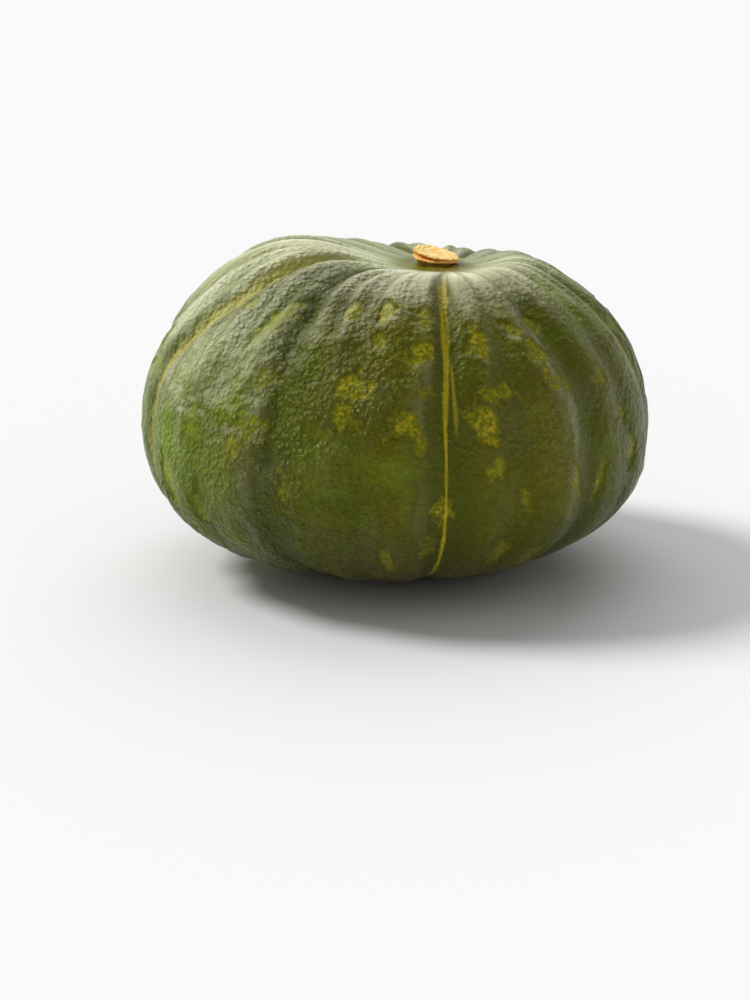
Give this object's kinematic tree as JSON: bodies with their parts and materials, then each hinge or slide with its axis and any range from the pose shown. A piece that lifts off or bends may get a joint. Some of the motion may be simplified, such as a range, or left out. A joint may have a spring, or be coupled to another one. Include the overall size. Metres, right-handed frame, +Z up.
{
  "type": "pumpkin",
  "caption": "Whole green kabocha-type pumpkin with broad ribs, a leathery rind and a corky cut stem stub, resting on a small flat spot.",
  "frame": {"origin": "under the middle of the fruit, on the surface it rests on", "axes": "+Z up through the fruit, -Y towards the front, +X to the viewer's right; the stem sits a little to the +X side"},
  "size_m": [0.1796, 0.1736, 0.116],
  "materials": {
    "rind": "leathery dark green rind with a waxy bloom, satin",
    "stem_cork": "dry corky cut stem, matt"
  },
  "bodies": {
    "root": {"fruit": "rind", "stem": "stem_cork"}
  },
  "joints": []
}
